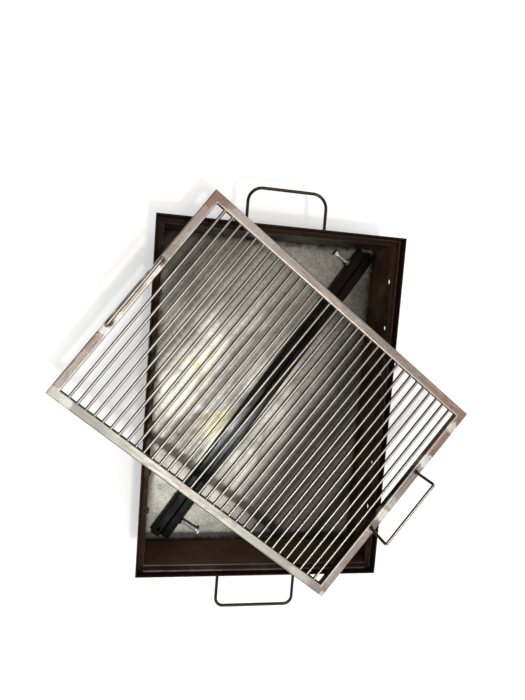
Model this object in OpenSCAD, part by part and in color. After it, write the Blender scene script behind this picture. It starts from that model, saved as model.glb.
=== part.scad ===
// Charcoal hibachi grill: a welded sheet-steel fire tray with an angle-iron rim,
// a loose stainless rod grate lying askew across the rim, and two loose
// square-tube posts with clamp screws stowed diagonally on the tray floor.
// Millimetres. +Z is up, +Y runs along the tray's long side.
// The origin is the centre of the tray floor's underside.

/* [Fire tray] */
// Outside length of the rim, along Y
tray_l = 700; // [700:5:760]
// Outside width of the rim, along X
tray_w = 494; // [494:2:560]
// Height of the rim's top edge above the ground
tray_h = 137; // [110:1:180]
// Thickness of the floor and wall sheets
sheet_t = 2; // [1.5:0.5:3]

/* [Rim angle] */
// Height of the rim angle's upright leg
rim_h = 23; // [18:1:25]
// Width of the rim angle's flat leg, which is the ledge
rim_ledge = 15; // [12:1:20]
// Thickness of the rim angle
rim_t = 3; // [2:0.5:4]

/* [Air holes] */
// Diameter of each round air hole
air_d = 10; // [6:1:14]
// Distance between neighbouring air holes
air_pitch = 96; // [60:2:100]
// Number of air holes in each long wall
air_n = 6; // [1:1:6]
// Centre of the row of air holes along Y
air_mid_y = 23; // [-40:1:40]
// Height of the air holes below the rim's top edge
air_drop = 35; // [33:1:50]

/* [Tray handles] */
// Diameter of the handle rod
handle_d = 6; // [5:0.5:8]
// Distance between the two legs of the far handle
far_w = 155; // [120:1:200]
// Distance between the two legs of the near handle
near_w = 158; // [120:1:200]
// Sideways place of the near handle, from the tray's centre line
near_x = -6; // [-20:1:20]
// Reach of a handle's grip beyond the rim, to the rod's centre
handle_reach = 68; // [50:1:90]
// Depth of the rod's centre below the rim's top edge
handle_drop = 12; // [8:1:16]
// Bend radius of the far handle
far_bend = 28; // [12:1:40]
// Bend radius of the near handle
near_bend = 16; // [12:1:40]

/* [Grate] */
// Outside length of the grate frame
grate_l = 682; // [560:2:720]
// Outside width of the grate frame
grate_w = 482; // [400:2:520]
// Width and height of the frame's square tube
grate_tube = 18; // [16:1:25]
// Wall thickness of the frame's square tube
grate_wall = 1.5; // [1.2:0.1:2]
// Rounding of the tube's outside corners
grate_round = 2.5; // [2.1:0.1:3]
// Number of round grate rods
rod_n = 33; // [10:1:40]
// Diameter of each grate rod
rod_d = 6; // [4:0.5:8]
// Depth of the rods' centres below the frame's top
rod_drop = 5; // [4:0.5:8]
// Angle of the loose grate's long side from X
grate_turn = -35.8; // [-36.2:0.1:-35.2]
// Centre of the loose grate along X
grate_x = -6; // [-10:1:0]
// Centre of the loose grate along Y
grate_y = 6; // [0:1:10]

/* [Grate handles] */
// Diameter of the handle wire
wire_d = 6; // [4:0.5:8]
// Distance between the two feet of a handle
wire_w = 148; // [120:1:180]
// Height of the grip's centre above the frame's top
wire_h = 75; // [50:1:90]
// Bend radius of the wire
wire_bend = 5; // [4:1:20]
// Place of the right handle along its short side, from the middle
wire_right_y = 5; // [-20:1:20]
// Place of the left handle along its short side, from the middle
wire_left_y = 3; // [-20:1:20]

/* [Posts] */
// Length of each post
post_l = 764; // [500:2:764]
// Width and height of the post's square tube
post_tube = 20; // [18:0.5:20]
// Wall thickness of the post's square tube
post_wall = 1.5; // [1.2:0.1:2]
// Rounding of the post's outside corners
post_round = 2.5; // [2.3:0.1:3.5]
// Angle of the stowed posts from X
post_turn = 57.1; // [56.9:0.1:57.3]
// Gap between the two stowed posts
post_gap = 0.4; // [0.2:0.1:0.8]
// Distance of the left post's clamp screw from its end
left_inset = 39; // [30:1:80]
// Distance of the right post's clamp screw from its end
right_inset = 47; // [30:1:80]
// Diameter of the cross hole near the post's plain end
pin_hole_d = 8; // [5:0.5:10]
// Distance of the cross hole from the post's plain end
pin_hole_inset = 14; // [10:1:40]

/* [Clamp screws] */
// Thread diameter of the clamp screw
screw_d = 8; // [6:1:8]
// Length of the clamp screw under its head
screw_l = 50; // [49:1:50]
// Length of bare screw between head and nut, left post
left_out = 27; // [26:1:37]
// Length of bare screw between head and nut, right post
right_out = 37; // [26:1:37]
// Radial running clearance in the nut
screw_gap = 0.05; // [0.02:0.01:0.1]

/* [Hidden] */
$fn = 48;
// heights
rim_z0 = tray_h - rim_h;
ledge_z = rim_z0 + rim_t;
air_z = tray_h - air_drop;
handle_z = tray_h - handle_drop;
grate_z0 = tray_h;
grate_z1 = grate_z0 + grate_tube;
rod_z = grate_z1 - rod_drop;
// wall sheets: inner faces line up with the ledge's inner edge
wall_in_x = tray_w / 2 - rim_ledge;
wall_in_y = tray_l / 2 - rim_ledge;
wall_out_x = wall_in_x + sheet_t;
wall_out_y = wall_in_y + sheet_t;
wall_h = rim_z0 - sheet_t;
// grate
rod_pitch = (grate_l - 2 * grate_tube) / (rod_n + 1);
rod_l = grate_w - 2 * grate_tube;
// posts
post_z = sheet_t + post_tube / 2;
post_mid_n = 1.5;
post_n = (post_tube + post_gap) / 2;
left_mid_s = 2.5;
right_mid_s = 9.5;
// hexagon hardware, from the thread diameter
hex_af = 1.625 * screw_d;
nut_h = 0.8 * screw_d;
head_h = 0.66 * screw_d;
tip_h = 0.15 * screw_d;
// a hexagon's turned face as a share of its width, and the 30 degree chamfer
turned = 0.475;
chamfer_run = tan(60);

// ---------- fire tray ----------

module tray_floor() {
  color([0.55, 0.53, 0.49])
    translate([-wall_out_x, -wall_out_y, 0])
      cube([2 * wall_out_x, 2 * wall_out_y, sheet_t]);
}

// a long wall standing at +X, with its row of air holes
module long_wall() {
  difference() {
    translate([wall_in_x, -wall_out_y, sheet_t])
      cube([sheet_t, 2 * wall_out_y, wall_h]);
    for (i = [0 : air_n - 1])
      translate([wall_in_x - 1, air_mid_y + (i - (air_n - 1) / 2) * air_pitch, air_z])
        rotate([0, 90, 0])
          cylinder(d = air_d, h = sheet_t + 2);
  }
}

module long_wall_right() {
  color([0.13, 0.11, 0.10])
    long_wall();
}

module long_wall_left() {
  color([0.13, 0.11, 0.10])
    mirror([1, 0, 0])
      long_wall();
}

// a short wall standing at +Y between the long walls
module short_wall() {
  translate([-wall_in_x, wall_in_y, sheet_t])
    cube([2 * wall_in_x, sheet_t, wall_h]);
}

module short_wall_far() {
  color([0.13, 0.11, 0.10])
    short_wall();
}

module short_wall_near() {
  color([0.13, 0.11, 0.10])
    mirror([0, 1, 0])
      short_wall();
}

// ---------- rim ----------

// the angle's profile: outer corner at the origin, ledge towards -X, lip towards +Y
module angle_profile() {
  polygon([
    [0, 0],
    [0, rim_h],
    [-rim_t, rim_h],
    [-rim_t, rim_t],
    [-rim_ledge, rim_t],
    [-rim_ledge, 0]
  ]);
}

// a mitred length of angle along Y at x = half_w, full outside length len
module rim_angle(half_w, len) {
  intersection() {
    translate([half_w, len / 2, rim_z0])
      rotate([90, 0, 0])
        linear_extrude(height = len)
          angle_profile();
    translate([0, 0, rim_z0])
      linear_extrude(height = rim_h)
        polygon([
          [half_w, -len / 2],
          [half_w, len / 2],
          [half_w - 2 * rim_ledge, len / 2 - 2 * rim_ledge],
          [half_w - 2 * rim_ledge, -len / 2 + 2 * rim_ledge]
        ]);
  }
}

module rim_angle_right() {
  color([0.10, 0.09, 0.09])
    rim_angle(tray_w / 2, tray_l);
}

module rim_angle_left() {
  color([0.10, 0.09, 0.09])
    mirror([1, 0, 0])
      rim_angle(tray_w / 2, tray_l);
}

module rim_angle_far() {
  color([0.10, 0.09, 0.09])
    rotate([0, 0, 90])
      rim_angle(tray_l / 2, tray_w);
}

module rim_angle_near() {
  color([0.10, 0.09, 0.09])
    rotate([0, 0, -90])
      rim_angle(tray_l / 2, tray_w);
}

// ---------- bent rod, a flat U ----------

// two legs along +Y from y = 0, joined by a grip whose centre line is at y = reach
module bent_u(width, reach, d, bend) {
  leg = reach - bend;
  half = width / 2;
  for (side = [-1, 1])
    translate([side * half, 0, 0])
      rotate([-90, 0, 0])
        cylinder(d = d, h = leg);
  translate([half - bend, leg, 0])
    rotate_extrude(angle = 90)
      translate([bend, 0])
        circle(d = d);
  translate([-half + bend, leg, 0])
    rotate([0, 0, 90])
      rotate_extrude(angle = 90)
        translate([bend, 0])
          circle(d = d);
  translate([-half + bend, reach, 0])
    rotate([0, 90, 0])
      cylinder(d = d, h = width - 2 * bend);
}

module tray_handle_far() {
  color([0.08, 0.08, 0.08])
    translate([0, tray_l / 2, handle_z])
      bent_u(far_w, handle_reach, handle_d, far_bend);
}

module tray_handle_near() {
  color([0.08, 0.08, 0.08])
    translate([near_x, -tray_l / 2, handle_z])
      rotate([0, 0, 180])
        bent_u(near_w, handle_reach, handle_d, near_bend);
}

// ---------- cooking grate ----------

// moves the grate from its own square frame to where it lies on the rim
module place_grate() {
  translate([grate_x, grate_y, 0])
    rotate([0, 0, grate_turn])
      children();
}

// a square with four round corners, centred
module round_square(side, r) {
  square([side, side - 2 * r], center = true);
  square([side - 2 * r, side], center = true);
  for (x = [-1, 1])
    for (y = [-1, 1])
      translate([x * (side / 2 - r), y * (side / 2 - r)])
        circle(r = r);
}

module tube_profile(side, wall, r) {
  difference() {
    round_square(side, r);
    square(side - 2 * wall, center = true);
  }
}

// a mitred frame tube along Y whose outside face is at x = half_w
module frame_tube(half_w, len) {
  intersection() {
    translate([half_w - grate_tube / 2, len / 2, grate_z0 + grate_tube / 2])
      rotate([90, 0, 0])
        linear_extrude(height = len)
          tube_profile(grate_tube, grate_wall, grate_round);
    translate([0, 0, grate_z0 - 1])
      linear_extrude(height = grate_tube + 2)
        polygon([
          [half_w, -len / 2],
          [half_w, len / 2],
          [half_w - 2 * grate_tube, len / 2 - 2 * grate_tube],
          [half_w - 2 * grate_tube, -len / 2 + 2 * grate_tube]
        ]);
  }
}

module grate_tube_short_right() {
  color([0.78, 0.76, 0.72])
    place_grate()
      frame_tube(grate_l / 2, grate_w);
}

module grate_tube_short_left() {
  color([0.78, 0.76, 0.72])
    place_grate()
      rotate([0, 0, 180])
        frame_tube(grate_l / 2, grate_w);
}

module grate_tube_long_far() {
  color([0.78, 0.76, 0.72])
    place_grate()
      rotate([0, 0, 90])
        frame_tube(grate_w / 2, grate_l);
}

module grate_tube_long_near() {
  color([0.78, 0.76, 0.72])
    place_grate()
      rotate([0, 0, -90])
        frame_tube(grate_w / 2, grate_l);
}

module grate_rods() {
  color([0.82, 0.81, 0.78])
    place_grate()
      for (i = [1 : rod_n])
        translate([-grate_l / 2 + grate_tube + i * rod_pitch, rod_l / 2, rod_z])
          rotate([90, 0, 0])
            cylinder(d = rod_d, h = rod_l);
}

// an upright wire handle standing on the frame at x = 0
module grate_handle() {
  translate([0, 0, grate_z1])
    rotate([90, 0, 90])
      bent_u(wire_w, wire_h, wire_d, wire_bend);
}

module grate_handle_right() {
  color([0.80, 0.79, 0.76])
    place_grate()
      translate([grate_l / 2 - grate_tube / 2, wire_right_y, 0])
        grate_handle();
}

module grate_handle_left() {
  color([0.80, 0.79, 0.76])
    place_grate()
      translate([-grate_l / 2 + grate_tube / 2, wire_left_y, 0])
        grate_handle();
}

// ---------- stowed posts ----------

// moves a post from the X axis to where it lies stowed; off is sideways, mid is along
module place_post(off, mid) {
  rotate([0, 0, post_turn])
    translate([mid, off, post_z])
      children();
}

module place_left() {
  place_post(-post_mid_n + post_n, left_mid_s)
    children();
}

module place_right() {
  place_post(-post_mid_n - post_n, right_mid_s)
    rotate([0, 0, 180])
      children();
}

// a post along X: clamp screw hole on the +Y side near the +X end, cross hole near -X
module post_tube_shape(inset) {
  difference() {
    translate([-post_l / 2, 0, 0])
      rotate([90, 0, 90])
        linear_extrude(height = post_l)
          tube_profile(post_tube, post_wall, post_round);
    translate([post_l / 2 - inset, 0, 0])
      rotate([-90, 0, 0])
        cylinder(d = screw_d + 2 * screw_gap, h = post_tube);
    translate([-post_l / 2 + pin_hole_inset, 0, -post_tube])
      cylinder(d = pin_hole_d, h = 2 * post_tube);
  }
}

// a hexagon prism standing on z = 0, with its far corners turned off
module hex_prism(af, h) {
  intersection() {
    cylinder(d = af / cos(30), h = h, $fn = 6);
    cylinder(r1 = af * turned + h * chamfer_run, r2 = af * turned, h = h);
  }
}

module post_nut(inset) {
  translate([post_l / 2 - inset, post_tube / 2, 0])
    rotate([-90, 0, 0])
      difference() {
        hex_prism(hex_af, nut_h);
        translate([0, 0, -1])
          cylinder(d = screw_d + 2 * screw_gap, h = nut_h + 2);
      }
}

// a hexagon-headed screw with a coned tip, head outwards
module clamp_screw(inset, out) {
  translate([post_l / 2 - inset, post_tube / 2 + nut_h + out, 0])
    rotate([-90, 0, 0]) {
      hex_prism(hex_af, head_h);
      translate([0, 0, -screw_l + tip_h])
        cylinder(d = screw_d, h = screw_l - tip_h);
      translate([0, 0, -screw_l])
        cylinder(d1 = screw_d - 2 * tip_h, d2 = screw_d, h = tip_h);
    }
}

module post_tube_left() {
  color([0.09, 0.09, 0.11])
    place_left()
      post_tube_shape(left_inset);
}

module post_tube_right() {
  color([0.09, 0.09, 0.11])
    place_right()
      post_tube_shape(right_inset);
}

module post_nut_left() {
  color([0.45, 0.45, 0.45])
    place_left()
      post_nut(left_inset);
}

module post_nut_right() {
  color([0.14, 0.14, 0.14])
    place_right()
      post_nut(right_inset);
}

module clamp_screw_left() {
  color([0.75, 0.75, 0.74])
    place_left()
      clamp_screw(left_inset, left_out);
}

module clamp_screw_right() {
  color([0.75, 0.75, 0.74])
    place_right()
      clamp_screw(right_inset, right_out);
}

tray_floor();
long_wall_left();
long_wall_right();
short_wall_near();
short_wall_far();
rim_angle_left();
rim_angle_right();
rim_angle_near();
rim_angle_far();
tray_handle_near();
tray_handle_far();
grate_tube_long_near();
grate_tube_long_far();
grate_tube_short_left();
grate_tube_short_right();
grate_rods();
grate_handle_left();
grate_handle_right();
post_tube_left();
post_tube_right();
post_nut_left();
post_nut_right();
clamp_screw_left();
clamp_screw_right();
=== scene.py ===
import math
import random

import bpy
import numpy as np
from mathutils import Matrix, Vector


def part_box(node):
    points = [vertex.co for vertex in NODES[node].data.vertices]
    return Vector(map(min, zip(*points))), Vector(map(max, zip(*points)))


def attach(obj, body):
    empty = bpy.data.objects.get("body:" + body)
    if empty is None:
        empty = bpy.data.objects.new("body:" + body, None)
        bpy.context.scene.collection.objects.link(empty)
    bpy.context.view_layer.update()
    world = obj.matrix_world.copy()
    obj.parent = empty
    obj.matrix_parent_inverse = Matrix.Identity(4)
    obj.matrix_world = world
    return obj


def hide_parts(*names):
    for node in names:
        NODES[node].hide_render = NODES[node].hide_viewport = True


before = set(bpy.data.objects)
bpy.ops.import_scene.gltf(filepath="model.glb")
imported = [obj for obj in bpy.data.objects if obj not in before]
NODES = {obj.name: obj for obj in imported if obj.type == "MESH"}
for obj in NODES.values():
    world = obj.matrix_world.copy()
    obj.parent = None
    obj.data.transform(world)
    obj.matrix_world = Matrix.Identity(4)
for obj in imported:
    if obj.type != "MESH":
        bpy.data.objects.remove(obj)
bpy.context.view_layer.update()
rng = random.Random(7)

# ---------------------------------------------------------------- measures read from the CAD


def centre(node):
    lo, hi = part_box(node)
    return (lo + hi) / 2


RIM_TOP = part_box("rim_angle_left")[1].z
RIM_OUT_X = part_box("rim_angle_right")[1].x
RIM_OUT_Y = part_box("rim_angle_far")[1].y
LEDGE_IN_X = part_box("rim_angle_right")[0].x
LEDGE_IN_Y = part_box("rim_angle_far")[0].y
RIM_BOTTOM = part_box("rim_angle_left")[0].z
FLOOR_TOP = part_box("tray_floor")[1].z
GRATE_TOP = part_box("grate_tube_long_near")[1].z
GRATE_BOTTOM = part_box("grate_tube_long_near")[0].z
TUBE = GRATE_TOP - GRATE_BOTTOM


def node_points(name):
    return np.array([v.co for v in NODES[name].data.vertices], float).reshape(-1, 3)


def grate_axes():
    """Centre, long direction and half sizes of the grate, from its four frame tubes."""
    pts = np.vstack([node_points(n) for n in NODES if n.startswith("grate_tube")])
    top = max(pts, key=lambda p: p[1])
    left = min(pts, key=lambda p: p[0])
    right = max(pts, key=lambda p: p[0])
    mid = (left + right) / 2
    along = right[:2] - top[:2]
    along /= np.linalg.norm(along)
    across = np.array([-along[1], along[0]])
    half_l = max((pts[:, :2] - mid[:2]) @ along)
    half_w = max((pts[:, :2] - mid[:2]) @ across)
    return Vector((mid[0], mid[1], 0)), Vector((*along, 0)), Vector((*across, 0)), half_l, half_w


G_MID, G_U, G_V, G_HALF_L, G_HALF_W = grate_axes()
G_TURN = math.atan2(G_U.y, G_U.x)


def on_grate(u, v, z):
    """A point given along the grate's own axes, in the part's frame."""
    return G_MID + G_U * u + G_V * v + Vector((0, 0, z))


def post_axes(name):
    """Centre and direction of a post tube."""
    pts = node_points(name)
    mid = (pts.max(0) + pts.min(0)) / 2
    flat = pts[:, :2] - mid[:2]
    _, _, vt = np.linalg.svd(flat, full_matrices=False)
    d = vt[0] if vt[0][1] > 0 else -vt[0]
    return Vector(mid), Vector((d[0], d[1], 0))


POSTS = {side: post_axes("post_tube_" + side) for side in ("left", "right")}
POST_TURN = math.atan2(POSTS["left"][1].y, POSTS["left"][1].x)
POST_HALF = (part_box("post_tube_left")[1].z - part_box("post_tube_left")[0].z) / 2
UP = Vector((0, 0, 1))


# ---------------------------------------------------------------- shader building


class Shader:
    """A small builder for one material's node graph."""

    def __init__(self, name):
        self.mat = bpy.data.materials.new(name)
        self.mat.use_nodes = True
        self.tree = self.mat.node_tree
        self.tree.nodes.clear()
        self.out = self.add("ShaderNodeOutputMaterial")
        self.bsdf = self.add("ShaderNodeBsdfPrincipled")
        self.tree.links.new(self.bsdf.outputs[0], self.out.inputs["Surface"])
        self.height = None

    def add(self, kind, **settings):
        node = self.tree.nodes.new(kind)
        for key, value in settings.items():
            setattr(node, key, value)
        return node

    def put(self, socket, value):
        if isinstance(value, bpy.types.NodeSocket):
            self.tree.links.new(value, socket)
        elif isinstance(value, (tuple, list)) and len(value) == 3 and socket.type == "RGBA":
            socket.default_value = (*value, 1)
        else:
            socket.default_value = value

    def coords(self, turn=0.0, scale=(1, 1, 1), move=(0, 0, 0)):
        """Object coordinates in metres, turned about Z so that X runs along the part, then scaled."""
        here = self.add("ShaderNodeTexCoord").outputs["Object"]
        spin = self.add("ShaderNodeVectorRotate", rotation_type="Z_AXIS")
        self.put(spin.inputs["Vector"], here)
        spin.inputs["Angle"].default_value = -turn
        mapping = self.add("ShaderNodeMapping")
        self.put(mapping.inputs["Vector"], spin.outputs[0])
        mapping.inputs["Scale"].default_value = scale
        mapping.inputs["Location"].default_value = move
        return mapping.outputs[0]

    def noise(self, vector, scale, detail=4.0, rough=0.55, twist=0.0):
        n = self.add("ShaderNodeTexNoise")
        self.put(n.inputs["Vector"], vector)
        n.inputs["Scale"].default_value = scale
        n.inputs["Detail"].default_value = detail
        n.inputs["Roughness"].default_value = rough
        n.inputs["Distortion"].default_value = twist
        return n.outputs["Fac"]

    def span(self, value, low, high, to_low=0.0, to_high=1.0, smooth=True):
        n = self.add("ShaderNodeMapRange", interpolation_type="SMOOTHSTEP" if smooth else "LINEAR")
        self.put(n.inputs["Value"], value)
        n.inputs["From Min"].default_value = low
        n.inputs["From Max"].default_value = high
        n.inputs["To Min"].default_value = to_low
        n.inputs["To Max"].default_value = to_high
        return n.outputs["Result"]

    def math(self, op, a, b=0.0, clamp=False):
        n = self.add("ShaderNodeMath", operation=op, use_clamp=clamp)
        self.put(n.inputs[0], a)
        self.put(n.inputs[1], b)
        return n.outputs[0]

    def mix(self, share, a, b, blend="MIX"):
        n = self.add("ShaderNodeMix", data_type="RGBA", blend_type=blend)
        self.put(n.inputs["Factor"], share)
        self.put(n.inputs[6], a)
        self.put(n.inputs[7], b)
        return n.outputs[2]

    def away(self, vector, point):
        """Distance from a point, both in the same coordinates."""
        n = self.add("ShaderNodeVectorMath", operation="DISTANCE")
        self.put(n.inputs[0], vector)
        n.inputs[1].default_value = point
        return n.outputs["Value"]

    def part(self, vector, axis):
        n = self.add("ShaderNodeSeparateXYZ")
        self.put(n.inputs[0], vector)
        return n.outputs[axis]

    def facing(self, direction):
        """Cosine between the surface's normal and a fixed direction of the part."""
        n = self.add("ShaderNodeVectorMath", operation="DOT_PRODUCT")
        self.put(n.inputs[0], self.add("ShaderNodeTexCoord").outputs["Normal"])
        n.inputs[1].default_value = direction
        return n.outputs["Value"]

    def outward(self, middle):
        """Positive on faces that look away from a middle point, negative on those that look towards it."""
        arm = self.add("ShaderNodeVectorMath", operation="SUBTRACT")
        self.put(arm.inputs[0], self.coords())
        arm.inputs[1].default_value = middle
        n = self.add("ShaderNodeVectorMath", operation="DOT_PRODUCT")
        self.put(n.inputs[0], self.add("ShaderNodeTexCoord").outputs["Normal"])
        self.put(n.inputs[1], arm.outputs[0])
        return n.outputs["Value"]

    def past(self, half_x, half_y):
        """Distance outside a rectangle about the middle of the tray."""
        here = self.coords()
        x, y = (self.math("ABSOLUTE", self.part(here, axis)) for axis in (0, 1))
        return self.math("MAXIMUM", self.math("SUBTRACT", x, half_x), self.math("SUBTRACT", y, half_y))

    def edge(self, radius):
        """About 1 on sharp outside edges and 0 on flats, from a rounded normal."""
        bevel = self.add("ShaderNodeBevel", samples=4)
        bevel.inputs["Radius"].default_value = radius
        plain = self.add("ShaderNodeNewGeometry").outputs["Normal"]
        dot = self.add("ShaderNodeVectorMath", operation="DOT_PRODUCT")
        self.put(dot.inputs[0], bevel.outputs[0])
        self.put(dot.inputs[1], plain)
        return self.span(dot.outputs["Value"], 0.99, 0.85)

    def bump(self, height, depth, strength=1.0):
        n = self.add("ShaderNodeBump")
        n.inputs["Strength"].default_value = strength
        n.inputs["Distance"].default_value = depth
        self.put(n.inputs["Height"], height)
        if self.height is not None:
            self.put(n.inputs["Normal"], self.height)
        self.height = n.outputs["Normal"]

    def finish(self, colour, metallic, roughness, **more):
        self.put(self.bsdf.inputs["Base Color"], colour)
        self.put(self.bsdf.inputs["Metallic"], metallic)
        self.put(self.bsdf.inputs["Roughness"], roughness)
        for key, value in more.items():
            self.put(self.bsdf.inputs[key.replace("_", " ")], value)
        if self.height is not None:
            self.put(self.bsdf.inputs["Normal"], self.height)
        return self.mat


# the grate's steel where it was ground after welding, browned or reddened by heat, and the colour of a
# painted highlight along its rounded inner edges
GROUND_LIGHT, GROUND_DARK, GROUND_SWIRL = (0.97, 0.955, 0.91), (0.74, 0.71, 0.66), (0.50, 0.45, 0.41)
BROWNED_LIGHT, BROWNED_DARK, FIRE_SIDE = (0.36, 0.27, 0.235), (0.22, 0.165, 0.155), (0.15, 0.085, 0.060)
REDDENED = (1.36, 1.10, 1.02)
INNER_EDGE_GLINT = (0.97, 0.93, 0.86)


def stainless(name, turn, ground, stained, base, rough, flushed=()):
    """Brushed stainless steel. turn is the brushing direction in the plane of the grate.

    ground lists (place, reach, strength) of spots ground bright after welding, stained those browned
    by heat, and flushed (place, reach) those only reddened by it.
    """
    s = Shader(name)
    fine = s.noise(s.coords(turn, (14, 900, 900)), 1.0, 3, 0.6)
    streak = s.noise(s.coords(turn, (3, 120, 120)), 1.0, 4, 0.6)
    cloud = s.noise(s.coords(turn, (7, 16, 16)), 1.0, 5, 0.6, 0.6)
    smear = s.noise(s.coords(turn, (26, 60, 60), (3, 1, 0)), 1.0, 5, 0.65, 1.6)
    swirl = s.noise(s.coords(0.4), 130.0, 4, 0.6, 2.5)
    here = s.coords()
    colour = s.mix(s.span(streak, 0.35, 0.68), base, tuple(c * 0.80 for c in base))
    grit = s.noise(s.coords(turn, (260, 420, 420)), 1.0, 4, 0.7)
    grit_tone = s.mix(s.span(grit, 0.3, 0.7), (0.84, 0.84, 0.835), (1.12, 1.12, 1.12))
    colour = s.mix(1.0, colour, grit_tone, "MULTIPLY")
    browner = (base[0] * 0.86, base[1] * 0.79, base[2] * 0.77)
    colour = s.mix(s.span(cloud, 0.42, 0.70, 0, 0.6), colour, browner)
    for place, reach in flushed:
        near = s.math("ADD", s.away(here, tuple(place)), s.span(cloud, 0.2, 0.8, -0.3 * reach, 0.3 * reach))
        colour = s.mix(s.span(near, reach, reach * 0.3), colour, REDDENED, "MULTIPLY")
    roughness = s.span(fine, 0.3, 0.7, rough - 0.06, rough + 0.08)
    roughness = s.math("ADD", roughness, s.span(smear, 0.45, 0.7, 0, 0.12))

    def patch(places):
        """Share of a finish that covers the places given, with a ragged edge."""
        total = None
        for place, reach, strength in places:
            ragged = s.span(smear, 0.2, 0.8, -0.5 * reach, 0.5 * reach)
            near = s.span(s.math("ADD", s.away(here, tuple(place)), ragged), reach, reach * 0.82, 0, strength)
            total = near if total is None else s.math("MAXIMUM", total, near)
        return total

    metallic = 1.0
    if ground:
        bright = patch(ground)
        grind = s.noise(s.coords(turn + 0.6, (60, 620, 620)), 1.0, 4, 0.65, 0.4)
        shine = s.mix(s.span(grind, 0.35, 0.66), GROUND_LIGHT, GROUND_DARK)
        colour = s.mix(bright, colour, s.mix(s.span(swirl, 0.56, 0.70, 0, 0.5), shine, GROUND_SWIRL))
        metallic = s.math("SUBTRACT", 1.0, s.math("MULTIPLY", bright, 0.48))
        uneven = s.math("MULTIPLY", bright, s.span(grind, 0.4, 0.6, -0.08, 0.08))
        roughness = s.math("ADD", roughness, uneven)
        s.bump(s.math("MULTIPLY", bright, grind), 0.0002, 0.5)
    if stained:
        colour = s.mix(patch(stained), colour, s.mix(s.span(swirl, 0.35, 0.65), BROWNED_LIGHT, BROWNED_DARK))
    # the sides that look at the fire are browned by it, and the rounded edges above them carry a painted
    # highlight
    inward = s.span(s.outward((G_MID.x, G_MID.y, GRATE_TOP)), -0.02, -0.08)
    lift = s.facing(UP)
    browned = s.math("MULTIPLY", inward, s.span(lift, 0.45, 0.15))
    browned = s.math("MULTIPLY", browned, s.span(cloud, 0.3, 0.6, 0.55, 0.85))
    colour = s.mix(browned, colour, FIRE_SIDE)
    edge_highlight = s.math("MULTIPLY", s.span(lift, 0.45, 0.60), s.span(lift, 0.97, 0.93))
    edge_highlight = s.math("MULTIPLY", s.math("MULTIPLY", inward, edge_highlight), s.span(streak, 0.3, 0.6, 1.0, 0.5))
    colour = s.mix(edge_highlight, colour, INNER_EDGE_GLINT)
    metallic = s.math("SUBTRACT", metallic, s.math("MULTIPLY", edge_highlight, 0.5), clamp=True)
    s.bump(fine, 0.00003, 0.5)
    s.bump(cloud, 0.0006, 0.25)
    return s.finish(colour, metallic, roughness)


# colour of the painted shade on the round bars' sides and undersides
BAR_PAINTED_SHADE = (0.055, 0.047, 0.036)


def round_bar(name, turn, across, base, rough):
    """Stainless round bar, with painted shade down its sides and underneath, leaving its crown bright."""
    s = Shader(name)
    fine = s.noise(s.coords(turn, (10, 700, 700)), 1.0, 3, 0.6)
    blotch = s.noise(s.coords(turn, (16, 40, 40)), 1.0, 4, 0.6)
    colour = s.mix(s.span(blotch, 0.40, 0.70, 0, 0.5), base, tuple(c * 0.72 for c in base))
    # painted shade: the flanks and underside are darkened by how far they turn from the light
    tilt = s.math("ADD", s.facing(across), s.span(blotch, 0.3, 0.7, -0.06, 0.06))
    sides = s.math("MAXIMUM", s.span(tilt, -0.22, -0.60), s.span(tilt, 0.46, 0.72))
    dark = s.math("MAXIMUM", sides, s.span(s.facing(UP), 0.15, -0.25))
    colour = s.mix(s.math("MULTIPLY", dark, 0.93), colour, BAR_PAINTED_SHADE)
    roughness = s.span(fine, 0.3, 0.7, rough - 0.05, rough + 0.07)
    roughness = s.math("ADD", roughness, s.math("MULTIPLY", dark, 0.15))
    s.bump(fine, 0.00002, 0.4)
    return s.finish(colour, 1.0, roughness)


# the wall paint on faces turned towards +Y, lighter as painted reflected light, and on faces turned towards
# -Y, darker
NEAR_WALL_PAINTED_LIGHT, FAR_WALL = (0.135, 0.080, 0.046), (0.016, 0.010, 0.007)
DUST = (0.30, 0.28, 0.26)
# colour of paint chipped to bare metal, and of the painted highlight along edges
BARE_EDGE_AND_HIGHLIGHT = (0.12, 0.10, 0.09)


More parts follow.
